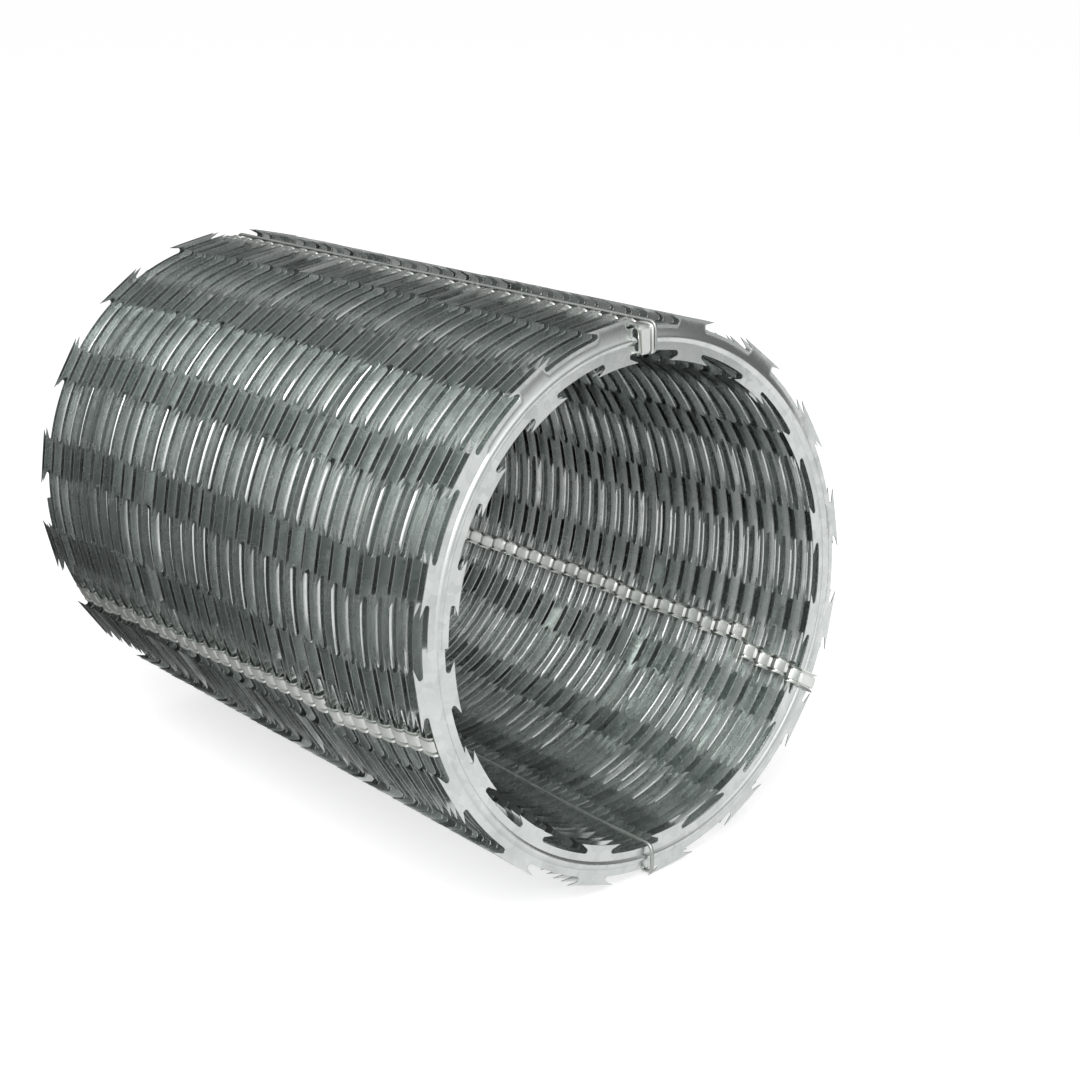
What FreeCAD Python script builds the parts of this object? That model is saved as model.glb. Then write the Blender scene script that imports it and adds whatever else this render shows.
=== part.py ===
import FreeCAD, Part
import math
import os

from FreeCAD import Vector

# Concertina coil of barbed tape, compressed and tied, lying on its side.
# The coil's axis runs along X and the open end that faces the viewer is at +X.
# The origin is on the floor, under the middle of the coil.

# Driving dimensions in millimetres and degrees

# The coil
coil_diameter = 300.0
turns = 64
turn_pitch = 6.0
turn_lean = 4.5

# The tape: a punched steel strip, crimped along its middle round a spring wire
strip_width = 12.5
strip_thickness = 0.5
core_wire_diameter = 2.5
outer_barb_height = 5.4
inner_barb_height = 5.2
barbs_per_turn = 16
barb_root_length = 18.8
barb_tip_length = 29.4
slot_end_radius = 1.5

# Turns drawn one by one at each end, and the layers that stand for the packed turns between them
loose_end_turns = 2
turns_per_layer = 20
layer_gap = 2.0

# The clips that join turns in pairs, in three rows.
# Each row lies in a gap between barbs, by its number, and starts its first pair at a turn.
clip_sheet = 0.6
clip_height = 10.0
clip_gap = 0.8
clip_clearance = 0.3
clip_rows = {"clips_top": (4, 0), "clips_left": (9, 1), "clips_right": (15, 0)}

# The tie wires that hold the coil shut.
# Each lies in a gap between barbs, by its number, so many times tie_beside_clips from its middle.
tie_wire_diameter = 2.2
tie_bend_radius = 3.0
tie_clearance = 0.3
tie_twist_length = 14.0
tie_beside_clips = 8.8
tie_wires = {"tie_wire_top": (4, 1), "tie_wire_bottom": (12, 0.8)}

# Sizes that follow
tip_radius = coil_diameter / 2
edge_radius = tip_radius - outer_barb_height
core_radius = edge_radius - strip_width / 2
bore_radius = edge_radius - strip_width
inner_tip_radius = bore_radius - inner_barb_height
crimp_radius = core_wire_diameter / 2 + strip_thickness
barb_pitch_angle = 360.0 / barbs_per_turn
barb_root_half = math.degrees(barb_root_length / 2 / core_radius)
barb_tip_half = math.degrees(barb_tip_length / 2 / core_radius)
lean = math.radians(turn_lean)
gap_half_angle = math.radians(barb_pitch_angle / 2 - barb_tip_half)
stretch_half_angle = math.radians(barb_pitch_angle / 2 - barb_root_half)
axis_height = tip_radius * math.cos(lean) * math.cos(gap_half_angle)
along = Vector(1, 0, 0)


def turn_place(turn):
    """Place of a turn along the axis. Turn 0 is the rear one."""
    return (turn - (turns - 1) / 2) * turn_pitch


def direction(angle):
    """Unit vector at an angle in the leaning plane of a turn, from +Y towards the top."""
    across = math.cos(math.radians(angle))
    rise = math.sin(math.radians(angle))
    return Vector(-rise * math.sin(lean), across, rise * math.cos(lean))


def point(place, radius, angle):
    """Point at a radius and angle, on the turn whose centre is at this place."""
    centre = Vector(place, 0, axis_height)
    return centre + direction(angle) * radius


def slot_end(place, root_radius, barb_radius, middle, sign):
    """Rounded end of the slot beside a barb: its foot on the edge, its top under the tip, its arc."""
    rise = math.copysign(slot_end_radius, barb_radius - root_radius)
    root = middle + sign * barb_root_half
    mouth = root + sign * math.degrees(slot_end_radius / core_radius)
    foot = point(place, root_radius, mouth)
    side = point(place, root_radius + rise, root)
    top = point(place, root_radius + 2 * rise, mouth)
    return foot, top, Part.Arc(foot, side, top).toShape()


def barbed_edge(place, root_radius, barb_radius, rounded):
    """Closed outline of one edge of the tape: barbs with two tips, and plain stretches between."""
    edges = []
    for barb in range(barbs_per_turn):
        middle = (barb + 0.5) * barb_pitch_angle
        first_tip = point(place, barb_radius, middle - barb_tip_half)
        second_tip = point(place, barb_radius, middle + barb_tip_half)
        halfway = point(place, root_radius, middle + barb_pitch_angle / 2)
        if rounded:
            feet, tops = [], []
            for sign in (-1, 1):
                foot, top, bend = slot_end(place, root_radius, barb_radius, middle, sign)
                feet.append(foot)
                tops.append(top)
                edges.append(bend)
            next_foot = slot_end(place, root_radius, barb_radius, middle + barb_pitch_angle, -1)[0]
            edges.append(Part.Arc(feet[1], halfway, next_foot).toShape())
        else:
            tops = [point(place, root_radius, middle + sign * barb_root_half) for sign in (-1, 1)]
            next_top = point(place, root_radius, middle + barb_pitch_angle - barb_root_half)
            edges.append(Part.LineSegment(tops[1], next_top).toShape())
        edges.append(Part.LineSegment(tops[0], first_tip).toShape())
        edges.append(Part.LineSegment(first_tip, second_tip).toShape())
        edges.append(Part.LineSegment(second_tip, tops[1]).toShape())
    return Part.Wire(Part.__sortEdges__(edges))


def barbed_ring(place, thickness, rounded):
    """Barbed ring of tape. Straight stretches on the inner edge touch the bore's circle midway."""
    start = place - thickness / 2
    inner_root = bore_radius if rounded else bore_radius / math.cos(stretch_half_angle)
    outer = barbed_edge(start, edge_radius, tip_radius, rounded)
    inner = barbed_edge(start, inner_root, inner_tip_radius, rounded)
    face = Part.makeFace([outer, inner], "Part::FaceMakerBullseye")
    return face.extrude(along * thickness)


def many_sided_ring(place, radius):
    """Closed ring of straight sides, two to each barb."""
    corners = [point(place, radius, side * barb_pitch_angle / 2) for side in range(2 * barbs_per_turn)]
    return Part.makePolygon(corners + corners[:1])


def core_tube():
    """The core wire, turn on turn: a thin many-sided tube that carries all the rings."""
    start = turn_place(0)
    length = turn_place(turns - 1) - start
    outer = many_sided_ring(start, core_radius + core_wire_diameter / 2)
    inner = many_sided_ring(start, core_radius - core_wire_diameter / 2)
    face = Part.makeFace([outer, inner], "Part::FaceMakerBullseye")
    return face.extrude(along * length)


def crimp(turn):
    """The bead that the strip makes where it is crimped round the core wire."""
    middle = turn_place(turn)
    crown = crimp_radius * math.sin(math.radians(22.5))
    sides = []
    for sign in (1, -1):
        wires = [
            many_sided_ring(middle - crimp_radius, core_radius + sign * crown),
            many_sided_ring(middle, core_radius + sign * crimp_radius),
            many_sided_ring(middle + crimp_radius, core_radius + sign * crown),
        ]
        sides.append(Part.makeLoft(wires, True, True))
    return sides[0].cut(sides[1])


def clip_slot(place, angle):
    """Space between two turns where the legs of two neighbouring clips pass."""
    width = 2 * clip_sheet + clip_gap + 2 * clip_clearance
    height = clip_height + 2 * clip_clearance
    side = direction(angle + 90)
    corners = []
    for step_x, step_side in ((-1, -1), (1, -1), (1, 1), (-1, 1)):
        start = point(place + step_x * width / 2, inner_tip_radius, angle)
        corners.append(start + side * (step_side * height / 2))
    face = Part.Face(Part.makePolygon(corners + corners[:1]))
    return face.extrude(direction(angle) * (tip_radius - inner_tip_radius))


def first_clipped_turns(offset):
    """The lower turn of each pair that a row of clips joins."""
    return range(offset, turns - 1, 2)


def row_slots(gap_number, offset):
    """The slots of one row: before the first turn of each pair that has a turn behind it."""
    angle = gap_number * barb_pitch_angle
    starts = [turn for turn in range(offset, turns, 2) if turn > 0]
    return [clip_slot(turn_place(turn) - turn_pitch / 2, angle) for turn in starts]


def clip(turn, angle):
    """Sheet clip, a closed band round two neighbouring turns, in the gap between barbs."""
    middle = turn_place(turn) + turn_pitch / 2
    half_width = (2 * turn_pitch - clip_gap) / 2
    low = bore_radius - clip_clearance
    high = edge_radius + clip_clearance
    side = direction(angle + 90) * clip_height
    wires = []
    for wall in (clip_sheet, 0.0):
        reach = half_width - clip_sheet + wall
        corners = [
            point(middle - reach, low - wall, angle),
            point(middle + reach, low - wall, angle),
            point(middle + reach, high + wall, angle),
            point(middle - reach, high + wall, angle),
        ]
        wires.append(Part.makePolygon(corners + corners[:1]))
    face = Part.makeFace(wires, "Part::FaceMakerBullseye")
    face.translate(side * -0.5)
    return face.extrude(side)


def rounded_route(corners, radius):
    """Open route of straight runs, with a tangent arc of one radius at each inner corner."""
    edges = []
    start = corners[0]
    for before, corner, after in zip(corners, corners[1:], corners[2:]):
        inward = (before - corner).normalize()
        outward = (after - corner).normalize()
        half_angle = inward.getAngle(outward) / 2
        reach = radius / math.tan(half_angle)
        arc_start = corner + inward * reach
        arc_end = corner + outward * reach
        bisector = (inward + outward).normalize()
        middle = corner + bisector * (radius / math.sin(half_angle) - radius)
        edges.append(Part.LineSegment(start, arc_start).toShape())
        edges.append(Part.Arc(arc_start, middle, arc_end).toShape())
        start = arc_end
    edges.append(Part.LineSegment(start, corners[-1]).toShape())
    return Part.Wire(edges)


def six_sided_section(centre, radius):
    """Section of a wire that runs along the coil, with few sides."""
    corners = []
    for corner in range(6):
        turned = math.radians(60 * corner)
        corners.append(centre + Vector(0, radius * math.cos(turned), radius * math.sin(turned)))
    return Part.makePolygon(corners + corners[:1])


def tie_wire(gap_number, beside):
    """Wire loop round the coil's wall, outside and inside, with its ends twisted together."""
    angle = gap_number * barb_pitch_angle - math.degrees(beside * tie_beside_clips / core_radius)
    stand_off = tie_clearance + tie_wire_diameter / 2
    rear = turn_place(0) - crimp_radius - stand_off
    front = turn_place(turns - 1) + crimp_radius + stand_off
    low = bore_radius - stand_off
    high = edge_radius + stand_off
    twist_start = rear + tie_twist_length
    corners = [
        point(twist_start + tie_twist_length / 2, low, angle),
        point(front, low, angle),
        point(front, high, angle),
        point(rear, high, angle),
        point(rear, low, angle),
        point(twist_start + tie_twist_length / 2, low, angle),
    ]
    route = rounded_route(corners, tie_bend_radius)
    start = route.Edges[0].Vertexes[0].Point
    section = six_sided_section(start, tie_wire_diameter / 2)
    loop = route.makePipeShell([section], True, False)
    twist_place = point(twist_start, low, angle)
    twist = Part.Face(six_sided_section(twist_place, tie_wire_diameter * 0.8))
    return loop.fuse(twist.extrude(along * tie_twist_length))


def razor_tape():
    """The whole coil of tape: end turns one by one, packed turns in layers, open clip slots.
    The front turn shows the rounded slot ends under its barbs."""
    rings = []
    for turn in range(loose_end_turns):
        rings.append(barbed_ring(turn_place(turn), strip_thickness, False))
        rings.append(barbed_ring(turn_place(turns - 1 - turn), strip_thickness, turn == 0))
    packed_turns = turns - 2 * loose_end_turns
    layers = packed_turns // turns_per_layer
    layer_pitch = packed_turns * turn_pitch / layers
    for layer in range(layers):
        middle = (layer - (layers - 1) / 2) * layer_pitch
        rings.append(barbed_ring(middle, layer_pitch - layer_gap, False))
    slots = []
    for gap_number, offset in clip_rows.values():
        slots.extend(row_slots(gap_number, offset))
    body = core_tube().multiFuse(rings + [crimp(0), crimp(turns - 1)])
    return body.cut(Part.makeCompound(slots))


def row_of_clips(gap_number, offset):
    """One row of clips along the coil."""
    angle = gap_number * barb_pitch_angle
    return Part.makeCompound([clip(turn, angle) for turn in first_clipped_turns(offset)])


nodes = {"razor_tape": razor_tape()}
for name, (gap_number, offset) in clip_rows.items():
    nodes[name] = row_of_clips(gap_number, offset)
for name, (gap_number, beside) in tie_wires.items():
    nodes[name] = tie_wire(gap_number, beside)

os.makedirs("parts", exist_ok=True)
for name, shape in nodes.items():
    shape.exportStep("parts/" + name + ".step")
    print(name, "solids", len(shape.Solids), "volume", round(shape.Volume), "valid", shape.isValid())
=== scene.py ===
# %% [markdown]
# # Concertina razor wire coil
# A coil of barbed steel tape, 300 mm across, pressed together and tied, lying on its side.
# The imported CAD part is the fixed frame. The tape, its clips and its tie wires are drawn here as they
# really are: one long spiral of punched strip, clipped turn to turn in three rows.

# %% Load the frame
import math

import bpy
import numpy as np
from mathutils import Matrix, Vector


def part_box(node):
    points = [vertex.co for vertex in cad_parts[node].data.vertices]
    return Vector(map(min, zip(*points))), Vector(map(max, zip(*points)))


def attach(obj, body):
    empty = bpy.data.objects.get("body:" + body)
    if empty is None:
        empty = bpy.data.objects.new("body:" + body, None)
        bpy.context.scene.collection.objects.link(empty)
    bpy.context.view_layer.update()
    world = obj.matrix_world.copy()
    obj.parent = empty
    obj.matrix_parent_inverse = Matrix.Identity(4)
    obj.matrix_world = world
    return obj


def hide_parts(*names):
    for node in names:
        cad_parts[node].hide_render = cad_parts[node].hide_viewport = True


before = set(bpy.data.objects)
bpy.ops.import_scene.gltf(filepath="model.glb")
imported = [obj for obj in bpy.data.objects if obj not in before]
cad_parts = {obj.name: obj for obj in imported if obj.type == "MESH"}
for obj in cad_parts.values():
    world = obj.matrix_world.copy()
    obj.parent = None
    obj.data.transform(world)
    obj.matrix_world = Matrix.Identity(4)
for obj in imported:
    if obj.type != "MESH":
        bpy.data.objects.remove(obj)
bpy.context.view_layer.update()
print("frame:", sorted(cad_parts))

# %% [markdown]
# ## Sizes
# Millimetres and degrees, as in the CAD part. The coil's axis lies along x, and its height comes from
# the frame. A length along the tape is measured on the ring of the core wire.

# %% Sizes
MM = 0.001
# The coil: its turns, the barb clusters of a turn, and how far the turns lean back.
TURNS = 64
BARBS = 16
LEAN = math.radians(4.5)
# The tape: radius of the core wire's ring, half the strip's width, its thickness, half the bead's
# thickness, and how far the barbs stand out on the outer and the inner edge.
CORE = 137.6
STRIP_HALF = 6.25
THICK = 0.5
BEAD = 1.75
BARB_OUT = 5.2
BARB_IN = 5.0
# Length of tape for one barb cluster, and how far a barb's tip is from the middle of its cluster.
PITCH_U = math.radians(360 / BARBS) * CORE
BARB_TIP = 15.1
# Radius that no tip passes, to stay inside the CAD part.
TIP_LIMIT = 149.25
# Place of the last turn's middle, the climb of the first and the last turn, and how far each turn of
# a clipped pair moves towards the other.
FRONT = 189.0
LAST_CLIMB = 3.6
PAIR_SHIFT = 1.0
# The spiral's own angle at the last slot's middle, and how much further the tape runs to its cut end.
END_ANGLE = 175.6
END_EXTRA = 4.1
# How far the strip's edges lean back from square to the axis, in millimetres for each millimetre.
CONE = -0.05
CONE_RANGE = 0.1
tape_low, tape_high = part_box("razor_tape")
AXIS = (tape_low.z + tape_high.z) / 2 / MM
rng = np.random.default_rng(11)
print("the axis is", round(AXIS, 1), "mm above the floor")

# %% [markdown]
# ## Helpers
# `on_coil` puts points on a leaning turn. `seeded` is a smooth seeded curve, for the small
# irregularities of a hand-packed coil. `mesh_object` makes one object of vertices and faces.


# %% Helpers
def on_coil(place, radius, angle):
    """Points at a place along the axis, a radius and an angle in degrees from +Y towards +Z.
    x = place - radius sin(angle) sin(lean), y = radius cos(angle), z = axis + radius sin(angle) cos(lean)."""
    turned = np.radians(angle)
    rise = radius * np.sin(turned)
    x = place - rise * math.sin(LEAN)
    return np.stack([x, radius * np.cos(turned), AXIS + rise * math.cos(LEAN)], axis=-1)


def smooth(value, start, end):
    """Smooth step: 0 up to start, 1 from end, 3t^2 - 2t^3 between."""
    t = np.clip((value - start) / (end - start), 0, 1)
    return t * t * (3 - 2 * t)


def seeded(per_turn, size):
    """Curve along the tape of random knots, per_turn of them in each turn, joined by cosine easing.
    It gives the same value each time it is asked for the same place."""
    knots = rng.normal(0, size, TURNS * per_turn + 3)

    def value(turn):
        place = np.clip(turn, 0, TURNS) * per_turn
        index = np.floor(place).astype(int)
        ease = (1 - np.cos(np.pi * (place - index))) / 2
        return knots[index] * (1 - ease) + knots[index + 1] * ease

    return value


def mesh_object(name, points, faces, material, sharp=35):
    """One object from points in millimetres and faces of any size.
    It is shaded smooth, but for edges that turn by more than the angle sharp, in degrees."""
    mesh = bpy.data.meshes.new(name)
    mesh.from_pydata((np.asarray(points, float) * MM).tolist(), [], faces)
    mesh.validate()
    mesh.polygons.foreach_set("use_smooth", np.ones(len(mesh.polygons), bool))
    mesh.set_sharp_from_angle(angle=math.radians(sharp))
    mesh.materials.append(material)
    made = bpy.data.objects.new(name, mesh)
    bpy.context.scene.collection.objects.link(made)
    return made


def ring_faces(rows, count):
    """Faces between rows of points that each close on themselves, and an end cap at both ends."""
    row = np.arange(rows - 1)[:, None] * count
    here = np.arange(count)[None, :]
    after = (here + 1) % count
    quads = np.stack([row + here, row + count + here, row + count + after, row + after], axis=-1)
    faces = quads.reshape(-1, 4).tolist()
    faces.append(list(range(count)))
    faces.append([(rows - 1) * count + i for i in reversed(range(count))])
    return faces


# %% [markdown]
# ## Materials
# Each is made of shader nodes on object coordinates. Pattern scales follow real sizes: zinc spangle is
# a few millimetres across, its cloudy staining a few centimetres and its grain half a millimetre.


# %% Materials
STAIN_MM = 22
GRAIN_MM = 0.6
GRAIN_DEPTH_MM = 0.06


def linear(code):
    """sRGB hex colour to linear RGBA."""
    channels = [int(code[i:i + 2], 16) / 255 for i in (1, 3, 5)]
    return [c / 12.92 if c <= 0.04045 else ((c + 0.055) / 1.055) ** 2.4 for c in channels] + [1.0]


def add(tree, kind, settings=None, **inputs):
    """A node with its settings. Inputs are values, or sockets to link from.
    An input's name has _ for a space, and i0, i1 and so on stand for inputs by their number."""
    made = tree.nodes.new(kind)
    for key, value in (settings or {}).items():
        setattr(made, key, value)
    for key, value in inputs.items():
        numbered = key[0] == "i" and key[1:].isdigit()
        socket = made.inputs[int(key[1:]) if numbered else key.replace("_", " ")]
        if isinstance(value, bpy.types.NodeSocket):
            tree.links.new(value, socket)
        else:
            socket.default_value = value
    return made


def material(name):
    """Empty node material: the material, its tree, its output node and object coordinates."""
    made = bpy.data.materials.new(name)
    made.use_nodes = True
    tree = made.node_tree
    tree.nodes.clear()
    output = add(tree, "ShaderNodeOutputMaterial")
    return made, tree, output, add(tree, "ShaderNodeTexCoord").outputs["Object"]


def zinc(name, pale, dull, smooth_level, rough_level, spangle_mm):
    """Galvanised steel: zinc spangle cells of spangle_mm that differ a little in tone and gloss,
    with soft cloudy staining and a fine grain."""
    made, tree, output, place = material(name)
    spangle = add(tree, "ShaderNodeTexVoronoi", {"feature": "F1"}, Vector=place, Scale=1 / (spangle_mm * MM))
    cell = add(tree, "ShaderNodeSeparateColor", Color=spangle.outputs["Color"]).outputs[0]
    stain = add(tree, "ShaderNodeTexNoise", Vector=place, Scale=1 / (STAIN_MM * MM), Detail=3.0)
    grain = add(tree, "ShaderNodeTexNoise", Vector=place, Scale=1 / (GRAIN_MM * MM), Detail=2.0)
    tone = add(tree, "ShaderNodeMath", {"operation": "MULTIPLY_ADD"}, i0=cell, i1=0.35,
               i2=stain.outputs["Fac"])
    share = add(tree, "ShaderNodeMapRange", Value=tone.outputs[0], From_Min=0.35, From_Max=0.95)
    colour = add(tree, "ShaderNodeMix", {"data_type": "RGBA"}, i0=share.outputs[0], i6=linear(dull),
                 i7=linear(pale))
    rough = add(tree, "ShaderNodeMapRange", Value=tone.outputs[0], From_Min=0.3, From_Max=1.0,
                To_Min=rough_level, To_Max=smooth_level)
    bump = add(tree, "ShaderNodeBump", Strength=0.25, Distance=GRAIN_DEPTH_MM * MM,
               Height=grain.outputs["Fac"])
    steel = add(tree, "ShaderNodeBsdfPrincipled", Base_Color=colour.outputs[2], Metallic=1.0,
                Roughness=rough.outputs[0], Normal=bump.outputs[0])
    tree.links.new(steel.outputs[0], output.inputs["Surface"])
    return made


# Hot-dip galvanised strip of the tape: satin zinc with a small spangle.
tape_zinc = zinc("galvanised_strip", "#d0d4d2", "#bec3c2", 0.2, 0.34, 5.0)
# Bright electro-galvanised sheet of the clips: paler.
clip_zinc = zinc("bright_galvanised_sheet", "#dfe1dd", "#cbcfcb", 0.26, 0.4, 9.0)
# Annealed galvanised wire of the ties: duller and a little darker.
wire_zinc = zinc("annealed_galvanised_wire", "#b9bdb9", "#979c99", 0.35, 0.5, 4.0)
print("materials:", tape_zinc.name, clip_zinc.name, wire_zinc.name)

# %% [markdown]
# ## The tape's path
# One spiral of 64 turns. Angles grow towards the front end, where the cut end lies at nine o'clock on
# the last turn. Turns that clips join lie closer together, so narrow and wide gaps take turns. The
# rows of barbs drift a little from the rear to the front, as they do in the photo.

# %% The tape's path
# Drift of the barbs in degrees: its mean, how much it changes round a turn, and the angle of its top.
DRIFT_FRONT = (5.6, 1.7, 75)
DRIFT_MIDDLE = (1.4, 2.2, 215)
# How much more they drift at the rear end, and where the spiral's own angle stands against them.
DRIFT_REAR = 3.0
DRIFT_ZERO = 6.85
# The drift changes from its middle to its front value between these distances from the front turn.
DRIFT_FROM = 62
DRIFT_TO = 8


def turn_angle(turn):
    """Angle in degrees at a number of turns from the rear end, growing all along the tape."""
    return END_ANGLE - 360 * (TURNS - turn)


def round_turn(drift, angle):
    """A drift at an angle: mean + change cos(angle - top)."""
    mean, change, top = drift
    return mean + change * np.cos(np.radians(angle - top))


def barb_phase(place, angle):
    """How far the barbs are turned, in degrees, from the even spacing, at a place and an angle."""
    front = round_turn(DRIFT_FRONT, angle)
    middle = round_turn(DRIFT_MIDDLE, angle) * (1 - smooth(place, FRONT - DRIFT_FROM, FRONT - DRIFT_TO))
    rear = DRIFT_REAR * np.clip(-place / FRONT, 0, 1)
    return front + middle + rear - DRIFT_ZERO


def spiral_place(turn):
    """Place along the axis: an even climb, flatter in the first and the last turn. A wave of one period
    in two turns, cos(3w) / 3 - 4 cos(w) / 3, draws neighbours together in pairs where clips join them."""
    inner = (2 * FRONT - LAST_CLIMB) / (TURNS - 2)
    even = -FRONT + LAST_CLIMB / 2 + (turn - 1) * inner
    first = -FRONT - LAST_CLIMB / 2 + turn * LAST_CLIMB
    last = FRONT + LAST_CLIMB / 2 - (TURNS - turn) * LAST_CLIMB
    climb = np.where(turn < 1, first, np.where(turn > TURNS - 1, last, even))
    wave = np.radians(turn_angle(turn) + TURNS * 360 - 90) / 2
    pairs = 1 / 3 * np.cos(3 * wave) - 4 / 3 * np.cos(wave)
    fade = smooth(turn, 0, 1.0) * (1 - smooth(turn, TURNS - 1.6, TURNS - 0.9))
    return climb + PAIR_SHIFT * pairs * fade


print("turns are", round(2 * FRONT / (TURNS - 1), 2), "mm apart")

# %% [markdown]
# ## The tape
# Along the tape, every barb cluster has two sharp tips on each edge that overhang the rounded ends of
# the slots. Across it, the strip swells into the bead that is rolled round the core wire. The tape is
# made in four lengths that meet end to end, because one mesh of it would be too big.

# %% The tape
# Half a barb cluster, from its middle to the middle of the slot. Each line across the tape has its
# place along the tape at the bead, its place and height at the neck, and its place and height at the
# edge. A height is counted from the strip's edge, as a share of the barb's.
half = np.array([
    (0.0, 0.0, 0.62, 0.0, 1.0), (4.4, 4.6, 0.62, 7.5, 1.0), (7.6, 8.0, 0.68, BARB_TIP, 1.0),
    (8.2, 8.3, 0.52, 10.6, 0.6), (8.5, 8.4, 0.42, 9.5, 0.52), (8.8, 8.5, 0.28, 9.1, 0.3),
    (9.2, 8.9, 0.05, 9.5, 0.08), (10.4, 10.4, -0.3, 10.6, 0.0), (16.0, 16.0, -0.3, 16.0, 0.0),
    (21.5, 21.5, -0.3, 21.5, 0.0), (PITCH_U / 2, PITCH_U / 2, -0.3, PITCH_U / 2, 0.0),
])
mirrored = half[::-1] * [-1, -1, 1, -1, 1]
cluster = np.concatenate([mirrored[:-1], half[:-1]])
# Across the bead: distance from its middle towards the outer edge, and half thickness there.
ACROSS = [(2.35, THICK / 2), (1.5, 1.2), (0.0, BEAD), (-1.5, 1.2), (-2.35, THICK / 2)]
# An edge of the bead's foot and of the strip is sharp, and the bead's round is smooth.
TAPE_SHARP = 46
LENGTHS = 4
# Irregularities of the coil: of the barbs' angle, the radius, the place and the lean of the edges.
phase_noise = seeded(2, 0.4)
radius_noise = seeded(3, 0.16)
place_noise = seeded(3, 0.22)
lean_noise = seeded(3, 0.055)


def tape_points(middle_turn, along, across, height):
    """Points of the tape at distances along it from the middles of its clusters, which are given in
    turns, at distances across it from the core wire, and at a height off its middle plane."""
    turn = middle_turn + along / PITCH_U / BARBS
    angle = turn_angle(turn)
    place = spiral_place(turn)
    angle = angle + barb_phase(place, angle) + phase_noise(turn)
    radius = np.minimum(CORE + across + radius_noise(turn), TIP_LIMIT)
    tilt = CONE + np.clip(lean_noise(turn), -CONE_RANGE, CONE_RANGE)
    return on_coil(place + place_noise(turn) + tilt * across + height, radius, angle)


def tape_piece(name, first, last):
    """Tape from one barb cluster to another, as rows of points across the tape, closed at both ends.
    The outer edge of a cluster is straight: it lies lower than the arc by cos(u / core) - cos(tip / core)."""
    number = np.append(np.repeat(np.arange(first, last), len(cluster)), last)
    station = np.vstack([np.tile(cluster, (last - first, 1)), cluster[:1]])
    extra = np.zeros(len(number))
    if last == TURNS * BARBS:
        extra[-1] = END_EXTRA
    bead_u, neck_u, edge_u = station[:, 0] + extra, station[:, 1] + extra, station[:, 3] + extra
    neck_rise, edge_rise = station[:, 2], station[:, 4]
    middle_turn = (number + 0.5) / BARBS
    sag = np.where(edge_rise == 1.0, (np.cos(edge_u / CORE) - np.cos(BARB_TIP / CORE)) * CORE, 0.0)
    rows = []
    for side in (1, -1):
        face = side * THICK / 2
        line = [tape_points(middle_turn, edge_u, STRIP_HALF + BARB_OUT * edge_rise - sag, face),
                tape_points(middle_turn, neck_u, STRIP_HALF + BARB_OUT * neck_rise, face)]
        line += [tape_points(middle_turn, bead_u, across, side * bulge) for across, bulge in ACROSS]
        line += [tape_points(middle_turn, neck_u, -STRIP_HALF - BARB_IN * neck_rise, face),
                 tape_points(middle_turn, edge_u, -STRIP_HALF - BARB_IN * edge_rise, face)]
        rows += line if side == 1 else line[::-1]
    grid = np.stack(rows, axis=1)
    made = mesh_object(name, grid.reshape(-1, 3), ring_faces(len(grid), grid.shape[1]), tape_zinc, TAPE_SHARP)
    print(name, len(made.data.polygons), "faces")
    return made


pieces = []
for part in range(LENGTHS):
    share = TURNS * BARBS // LENGTHS
    piece = tape_piece(f"tape_turns_{part + 1}", part * share, (part + 1) * share)
    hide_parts("razor_tape")
    pieces.append(piece)

# %% [markdown]
# ## The clips
# Each clip is a pressed band closed round two neighbouring turns. It bulges outside, it has a groove
# and a flared lip at both of its edges, and its ends fold over each other inside the coil.

# %% The clips
# Half the clip's width along the axis, its room at the strip's edges and the wall of its sheet.
CLIP_HALF = 5.55
CLIP_ROOM = 0.5
CLIP_WALL = 0.5
# Radius on which the clip's own length round the coil is measured.
CLIP_RADIUS = CORE + 7
# Seeded irregularities of the clips, in degrees and in millimetres.
CLIP_TURN = 0.25
CLIP_SLIDE = 0.12
# Along the clip's length: distance from its middle, and how far the band stands out there.
CLIP_ALONG = [(-5.2, 0.5), (-4.3, 0.15), (-3.9, -1.0), (-3.3, -1.0), (-3.0, 0.1), (0.0, 0.3),
              (3.0, 0.1), (3.3, -1.0), (3.9, -1.0), (4.3, 0.15), (5.2, 0.5)]


def clip_section():
    """The band's outline seen along the tape, round two turns, as distances along the axis and out."""
    wide = CLIP_HALF
    high = STRIP_HALF + CLIP_ROOM
    low = -STRIP_HALF - CLIP_ROOM
    return np.array([
        (-wide, low + 1.2), (-wide, high - 1.4), (-wide + 1.1, high + 0.1), (-wide * 0.45, high + 0.75),
        (0, high + 0.95), (wide * 0.45, high + 0.75), (wide - 1.1, high + 0.1), (wide, high - 1.4),
        (wide, low + 1.2), (wide - 1.0, low - 0.2), (0.6, low - 0.5), (-1.6, low - 1.5),
        (-1.6, low - 0.9), (-wide + 1.0, low - 0.2),
    ])


def clip_mesh(middle, angle):
    """Points and faces of one clip: its outer surface along its length, and its inner one back again."""
    section = clip_section()
    count = len(section)
    reach = np.maximum(np.abs(section).max(axis=1), 3)
    rows = []
    for wall, ends in ((0.0, CLIP_ALONG), (-CLIP_WALL, CLIP_ALONG[::-1])):
        for along, lift in ends:
            ring = section * (1 + (wall + lift) / reach)[:, None]
            turned = angle + math.degrees(1) * along / CLIP_RADIUS
            rows.append(on_coil(middle + ring[:, 0], CORE + ring[:, 1], turned))
    row = np.arange(len(rows))[:, None] * count
    after_row = (np.arange(len(rows))[:, None] + 1) % len(rows) * count
    here = np.arange(count)[None, :]
    after = (here + 1) % count
    quads = np.stack([row + here, row + after, after_row + after, after_row + here], axis=-1)
    return np.concatenate(rows), quads.reshape(-1, 4)


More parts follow.
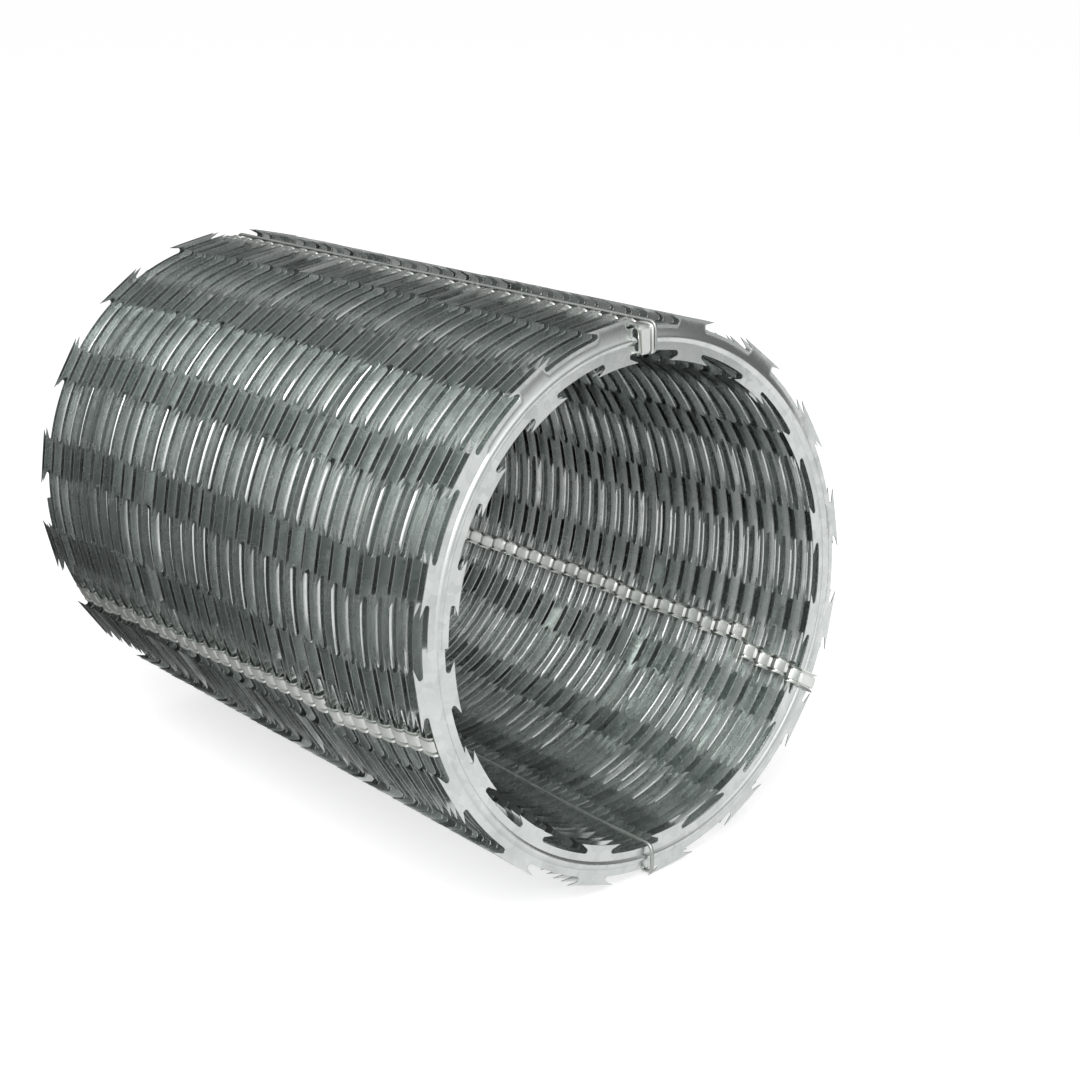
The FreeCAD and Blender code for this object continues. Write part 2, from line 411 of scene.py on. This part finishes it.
def place_at(angle, crossing):
    """Place along the axis where the tape passes an angle for the given time from the rear."""
    turn = np.array(((angle - turn_angle(0.0)) % 360) / 360 + crossing)
    return float(spiral_place(turn) + place_noise(turn))


def row_angle(step, rear, front):
    """Function that gives a row's angle at a place. It runs evenly between the two angles of rear,
    up to the step, and between the two of front after it."""
    def angle_at(place):
        behind = rear[0] + (rear[1] - rear[0]) * (place + FRONT) / (step + FRONT)
        ahead = front[0] + (front[1] - front[0]) * (place - step) / (FRONT - step)
        return np.where(place < step, behind, ahead)

    return angle_at


def clip_row(name, node, angle_at, first):
    """A row of clips, joined into one object. The first clip joins the turn of that number to the next."""
    points, faces, used = [], [], 0
    for crossing in range(first, TURNS - 1, 2):
        rough = angle_at(0.0)
        middle = (place_at(rough, crossing) + place_at(rough, crossing + 1)) / 2
        angle = angle_at(middle) + rng.normal(0, CLIP_TURN)
        some, quads = clip_mesh(middle + rng.normal(0, CLIP_SLIDE), angle)
        points.append(some)
        faces += (quads + used).tolist()
        used += len(some)
    made = mesh_object(name, np.concatenate(points), faces, clip_zinc)
    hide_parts(node)
    pieces.append(made)
    print(name, len(points), "clips", len(faces), "faces")


# The top row is straight. The left and the right row run a little down, each with a step on the way.
clip_row("clips_top_row", "clips_top", row_angle(0.0, (90.0, 90.0), (90.0, 90.0)), 0)
clip_row("clips_left_row", "clips_left", row_angle(FRONT - 104, (206.0, 199.5), (201.8, 194.6)), 1)
clip_row("clips_right_row", "clips_right", row_angle(FRONT - 41, (334.0, 334.0), (330.0, 329.0)), 0)

# %% [markdown]
# ## The tie wires
# Round wires, swept along a path outside and inside the wall, with their ends twisted together.

# %% The tie wires
# Radius of the wire, how far its loop reaches past the end turns, and how far its middle stands off the
# strip's inner and outer edge.
WIRE = 1.05
REACH = FRONT + 3.5
TIE_LOW = CORE - STRIP_HALF - 1.6
TIE_HIGH = CORE + STRIP_HALF + 1.7
# Radius of its bends, and the points of each straight run.
TIE_BEND = 4.4
RUN_POINTS = 16
# The twisted tails: their length, their full twists and the distance between their middles, halved.
TWIST_LENGTH = 17
TWISTS = 4
STRAND = 1.1
# Length of the sway of a slack wire, divided by a full turn in radians.
SWAY = 31.0
WIRE_SHARP = 60


def tube(path, radius, sides=10):
    """Points and faces of a round wire along a path of points, each ring square to the path.
    A ring's point is path + radius (cos(t) side + sin(t) up)."""
    path = np.asarray(path, float)
    ahead = np.gradient(path, axis=0)
    ahead /= np.linalg.norm(ahead, axis=1)[:, None]
    side = np.cross(ahead[0], [0.3, 0.9, 0.4])
    turned = np.linspace(0, 2 * np.pi, sides, endpoint=False)[:, None]
    rings = []
    for point, forward in zip(path, ahead):
        side = side - forward * side.dot(forward)
        side /= np.linalg.norm(side)
        up = np.cross(forward, side)
        rings.append(point + radius * (np.cos(turned) * side + np.sin(turned) * up))
    return np.concatenate(rings), ring_faces(len(path), sides)


def eased(corners, radius, steps=6):
    """Path with each corner rounded by a quadratic curve that starts and ends at the radius from it."""
    corners = np.asarray(corners, float)
    path = [corners[0]]
    for before, corner, after in zip(corners, corners[1:], corners[2:]):
        back = (before - corner) / np.linalg.norm(before - corner)
        ahead = (after - corner) / np.linalg.norm(after - corner)
        reach = min(radius, np.linalg.norm(before - corner) / 2, np.linalg.norm(after - corner) / 2)
        start, end = corner + back * reach, corner + ahead * reach
        for t in np.linspace(0, 1, steps):
            path.append(start * (1 - t) ** 2 + corner * 2 * t * (1 - t) + end * t ** 2)
    path.append(corners[-1])
    return np.array(path)


def tie_route():
    """The loop as places along the axis and radii: from the inside of the rear end out over it, along the
    outside, over the front end and back along the inside."""
    outside = [(x, TIE_HIGH) for x in np.linspace(-REACH + 8, REACH - 3, RUN_POINTS)]
    inside = [(x, TIE_LOW) for x in np.linspace(REACH - 3, -REACH + 8, RUN_POINTS)]
    route = [(-REACH + 26, TIE_LOW), (-REACH + 0.5, TIE_LOW), (-REACH + 0.5, TIE_HIGH)] + outside[1:-1]
    route += [(REACH - 0.5, TIE_HIGH), (REACH - 0.5, TIE_LOW)] + inside[1:-1]
    return np.array(route + [(-REACH + 12, TIE_LOW - 1.2)])


def twisted_strand(angle, phase):
    """One of the two tails, a helix round the line on which they lie."""
    t = np.linspace(0, 1, 40)
    turned = phase + 2 * np.pi * TWISTS * t
    radius = TIE_LOW + STRAND * np.cos(turned)
    beside = angle + np.degrees(STRAND * np.sin(turned) / TIE_LOW)
    return tube(on_coil(-REACH + 8 + TWIST_LENGTH * t, radius, beside), WIRE)


def tie(name, node, angle, slack):
    """A loop of tie wire at an angle, its tails twisted. Inside the coil it sways by slack, in degrees."""
    route = tie_route()
    sway = slack * np.sin(route[:, 0] / SWAY) * (route[:, 1] < CORE)
    points, faces = tube(eased(on_coil(route[:, 0], route[:, 1], angle + sway), TIE_BEND), WIRE)
    for phase in (0.0, np.pi):
        some, more = twisted_strand(angle, phase)
        faces += [[i + len(points) for i in face] for face in more]
        points = np.concatenate([points, some])
    made = mesh_object(name, points, faces, wire_zinc, WIRE_SHARP)
    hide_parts(node)
    pieces.append(made)
    print(name, len(faces), "faces")


tie("tie_wire_top_loop", "tie_wire_top", 86.3, 0.0)
tie("tie_wire_bottom_loop", "tie_wire_bottom", 267.0, 0.6)

for piece in pieces:
    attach(piece, "root")

# %% [markdown]
# ## Stage, light and camera
# A plain pale floor on a white background, a soft key lamp above the camera, and the camera where the
# photo was taken from. Bare steel shows little but what it mirrors, so the floor and the sky have a
# plain gradient where the metal mirrors them: the floor is brightest in front of the coil, and the sky
# on the camera's side.

# %% Stage, light and camera
WHITE = (1, 1, 1, 1)
FLOOR_GREY = (0.6, 0.6, 0.6, 1)
# Glow of the floor that only the camera sees, and light of the sky on what isn't mirrored.
FLOOR_GLOW = 0.66
SKY_LEVEL = 0.55
# Directions towards the brightest part of the mirrored floor and the mirrored sky.
FLOOR_BRIGHT = (1.0, 0.15, 0)
SKY_BRIGHT = (0.3, -0.5, 0.81)
FLOOR_SIZE = 60
KEY_PLACE = (0.95, -1.0, 1.95)
KEY_SIZE = 1.9
KEY_WATTS = 42
# The camera's place, how far it looks down and round, and its lens, fitted to the photo.
EYE_PLACE = (0.82214, -0.62261, 0.47209)
EYE_DOWN = 17.994
EYE_ROUND = 139.07
EYE_LENS = 61.256


def plain_floor():
    """Pale floor that keeps the object's shadow and looks white away from it. In a mirror it is a
    gradient: 0.25 at a place . direction of -0.25 m, 1.15 at 0.3 m."""
    made, tree, output, place = material("pale_floor")
    path = add(tree, "ShaderNodeLightPath").outputs
    level = add(tree, "ShaderNodeMath", {"operation": "MULTIPLY"}, i0=path["Is Camera Ray"], i1=FLOOR_GLOW)
    glow = add(tree, "ShaderNodeEmission", Color=WHITE, Strength=level.outputs[0])
    matt = add(tree, "ShaderNodeBsdfDiffuse", Color=FLOOR_GREY)
    plain = add(tree, "ShaderNodeAddShader", i0=matt.outputs[0], i1=glow.outputs[0])
    ahead = add(tree, "ShaderNodeVectorMath", {"operation": "DOT_PRODUCT"}, i0=place, i1=FLOOR_BRIGHT)
    shade = add(tree, "ShaderNodeMapRange", Value=ahead.outputs["Value"], From_Min=-0.25, From_Max=0.3,
                To_Min=0.25, To_Max=1.15)
    mirrored = add(tree, "ShaderNodeEmission", Color=WHITE, Strength=shade.outputs[0])
    mixed = add(tree, "ShaderNodeMixShader", i0=path["Is Glossy Ray"], i1=plain.outputs[0],
                i2=mirrored.outputs[0])
    tree.links.new(mixed.outputs[0], output.inputs["Surface"])
    bpy.ops.mesh.primitive_plane_add(size=FLOOR_SIZE, location=(0, 0, 0))
    floor = bpy.context.object
    floor.name = "floor"
    floor.data.materials.append(made)


def world_light():
    """White where the camera sees it, a plain level for the rest of the light, and in a mirror a
    gradient: 0.2 square to the bright direction, 1.5 close to it."""
    world = bpy.data.worlds.new("studio")
    bpy.context.scene.world = world
    world.use_nodes = True
    tree = world.node_tree
    tree.nodes.clear()
    path = add(tree, "ShaderNodeLightPath").outputs
    seen = add(tree, "ShaderNodeMath", {"operation": "MAXIMUM"}, i0=path["Is Camera Ray"],
               i1=path["Is Transmission Ray"])
    level = add(tree, "ShaderNodeMapRange", Value=seen.outputs[0], To_Min=SKY_LEVEL, To_Max=1.0)
    toward = add(tree, "ShaderNodeTexCoord").outputs["Generated"]
    bright = add(tree, "ShaderNodeVectorMath", {"operation": "DOT_PRODUCT"}, i0=toward, i1=SKY_BRIGHT)
    studio = add(tree, "ShaderNodeMapRange", Value=bright.outputs["Value"], From_Min=0.0, From_Max=0.85,
                 To_Min=0.2, To_Max=1.5)
    mixed = add(tree, "ShaderNodeMix", {"data_type": "FLOAT"}, i0=path["Is Glossy Ray"], i2=level.outputs[0],
                i3=studio.outputs[0])
    back = add(tree, "ShaderNodeBackground", Color=WHITE, Strength=mixed.outputs[0])
    add(tree, "ShaderNodeOutputWorld", Surface=back.outputs[0])


def lamp(name, place, size, watts):
    """Square soft lamp that points at the middle of the coil."""
    data = bpy.data.lights.new(name, "AREA")
    data.size = size
    data.energy = watts
    made = bpy.data.objects.new(name, data)
    bpy.context.scene.collection.objects.link(made)
    made.location = place
    aim = np.array([0, 0, AXIS * MM]) - np.array(place)
    yaw = math.atan2(aim[1], aim[0])
    drop = math.atan2(aim[2], math.hypot(aim[0], aim[1]))
    made.rotation_euler = (math.pi / 2 + drop, 0, yaw - math.pi / 2)


plain_floor()
world_light()
lamp("key", KEY_PLACE, KEY_SIZE, KEY_WATTS)

eye = bpy.data.cameras.new("photo_view")
eye.sensor_width = 36
eye.lens = EYE_LENS
eye.clip_start = 0.05
camera = bpy.data.objects.new("photo_view", eye)
bpy.context.scene.collection.objects.link(camera)
camera.location = EYE_PLACE
camera.rotation_euler = (math.radians(90 - EYE_DOWN), 0, math.radians(EYE_ROUND - 90))
bpy.context.scene.camera = camera
bpy.context.scene.view_settings.view_transform = "Standard"
print("camera at", EYE_PLACE, "and key lamp at", KEY_PLACE)
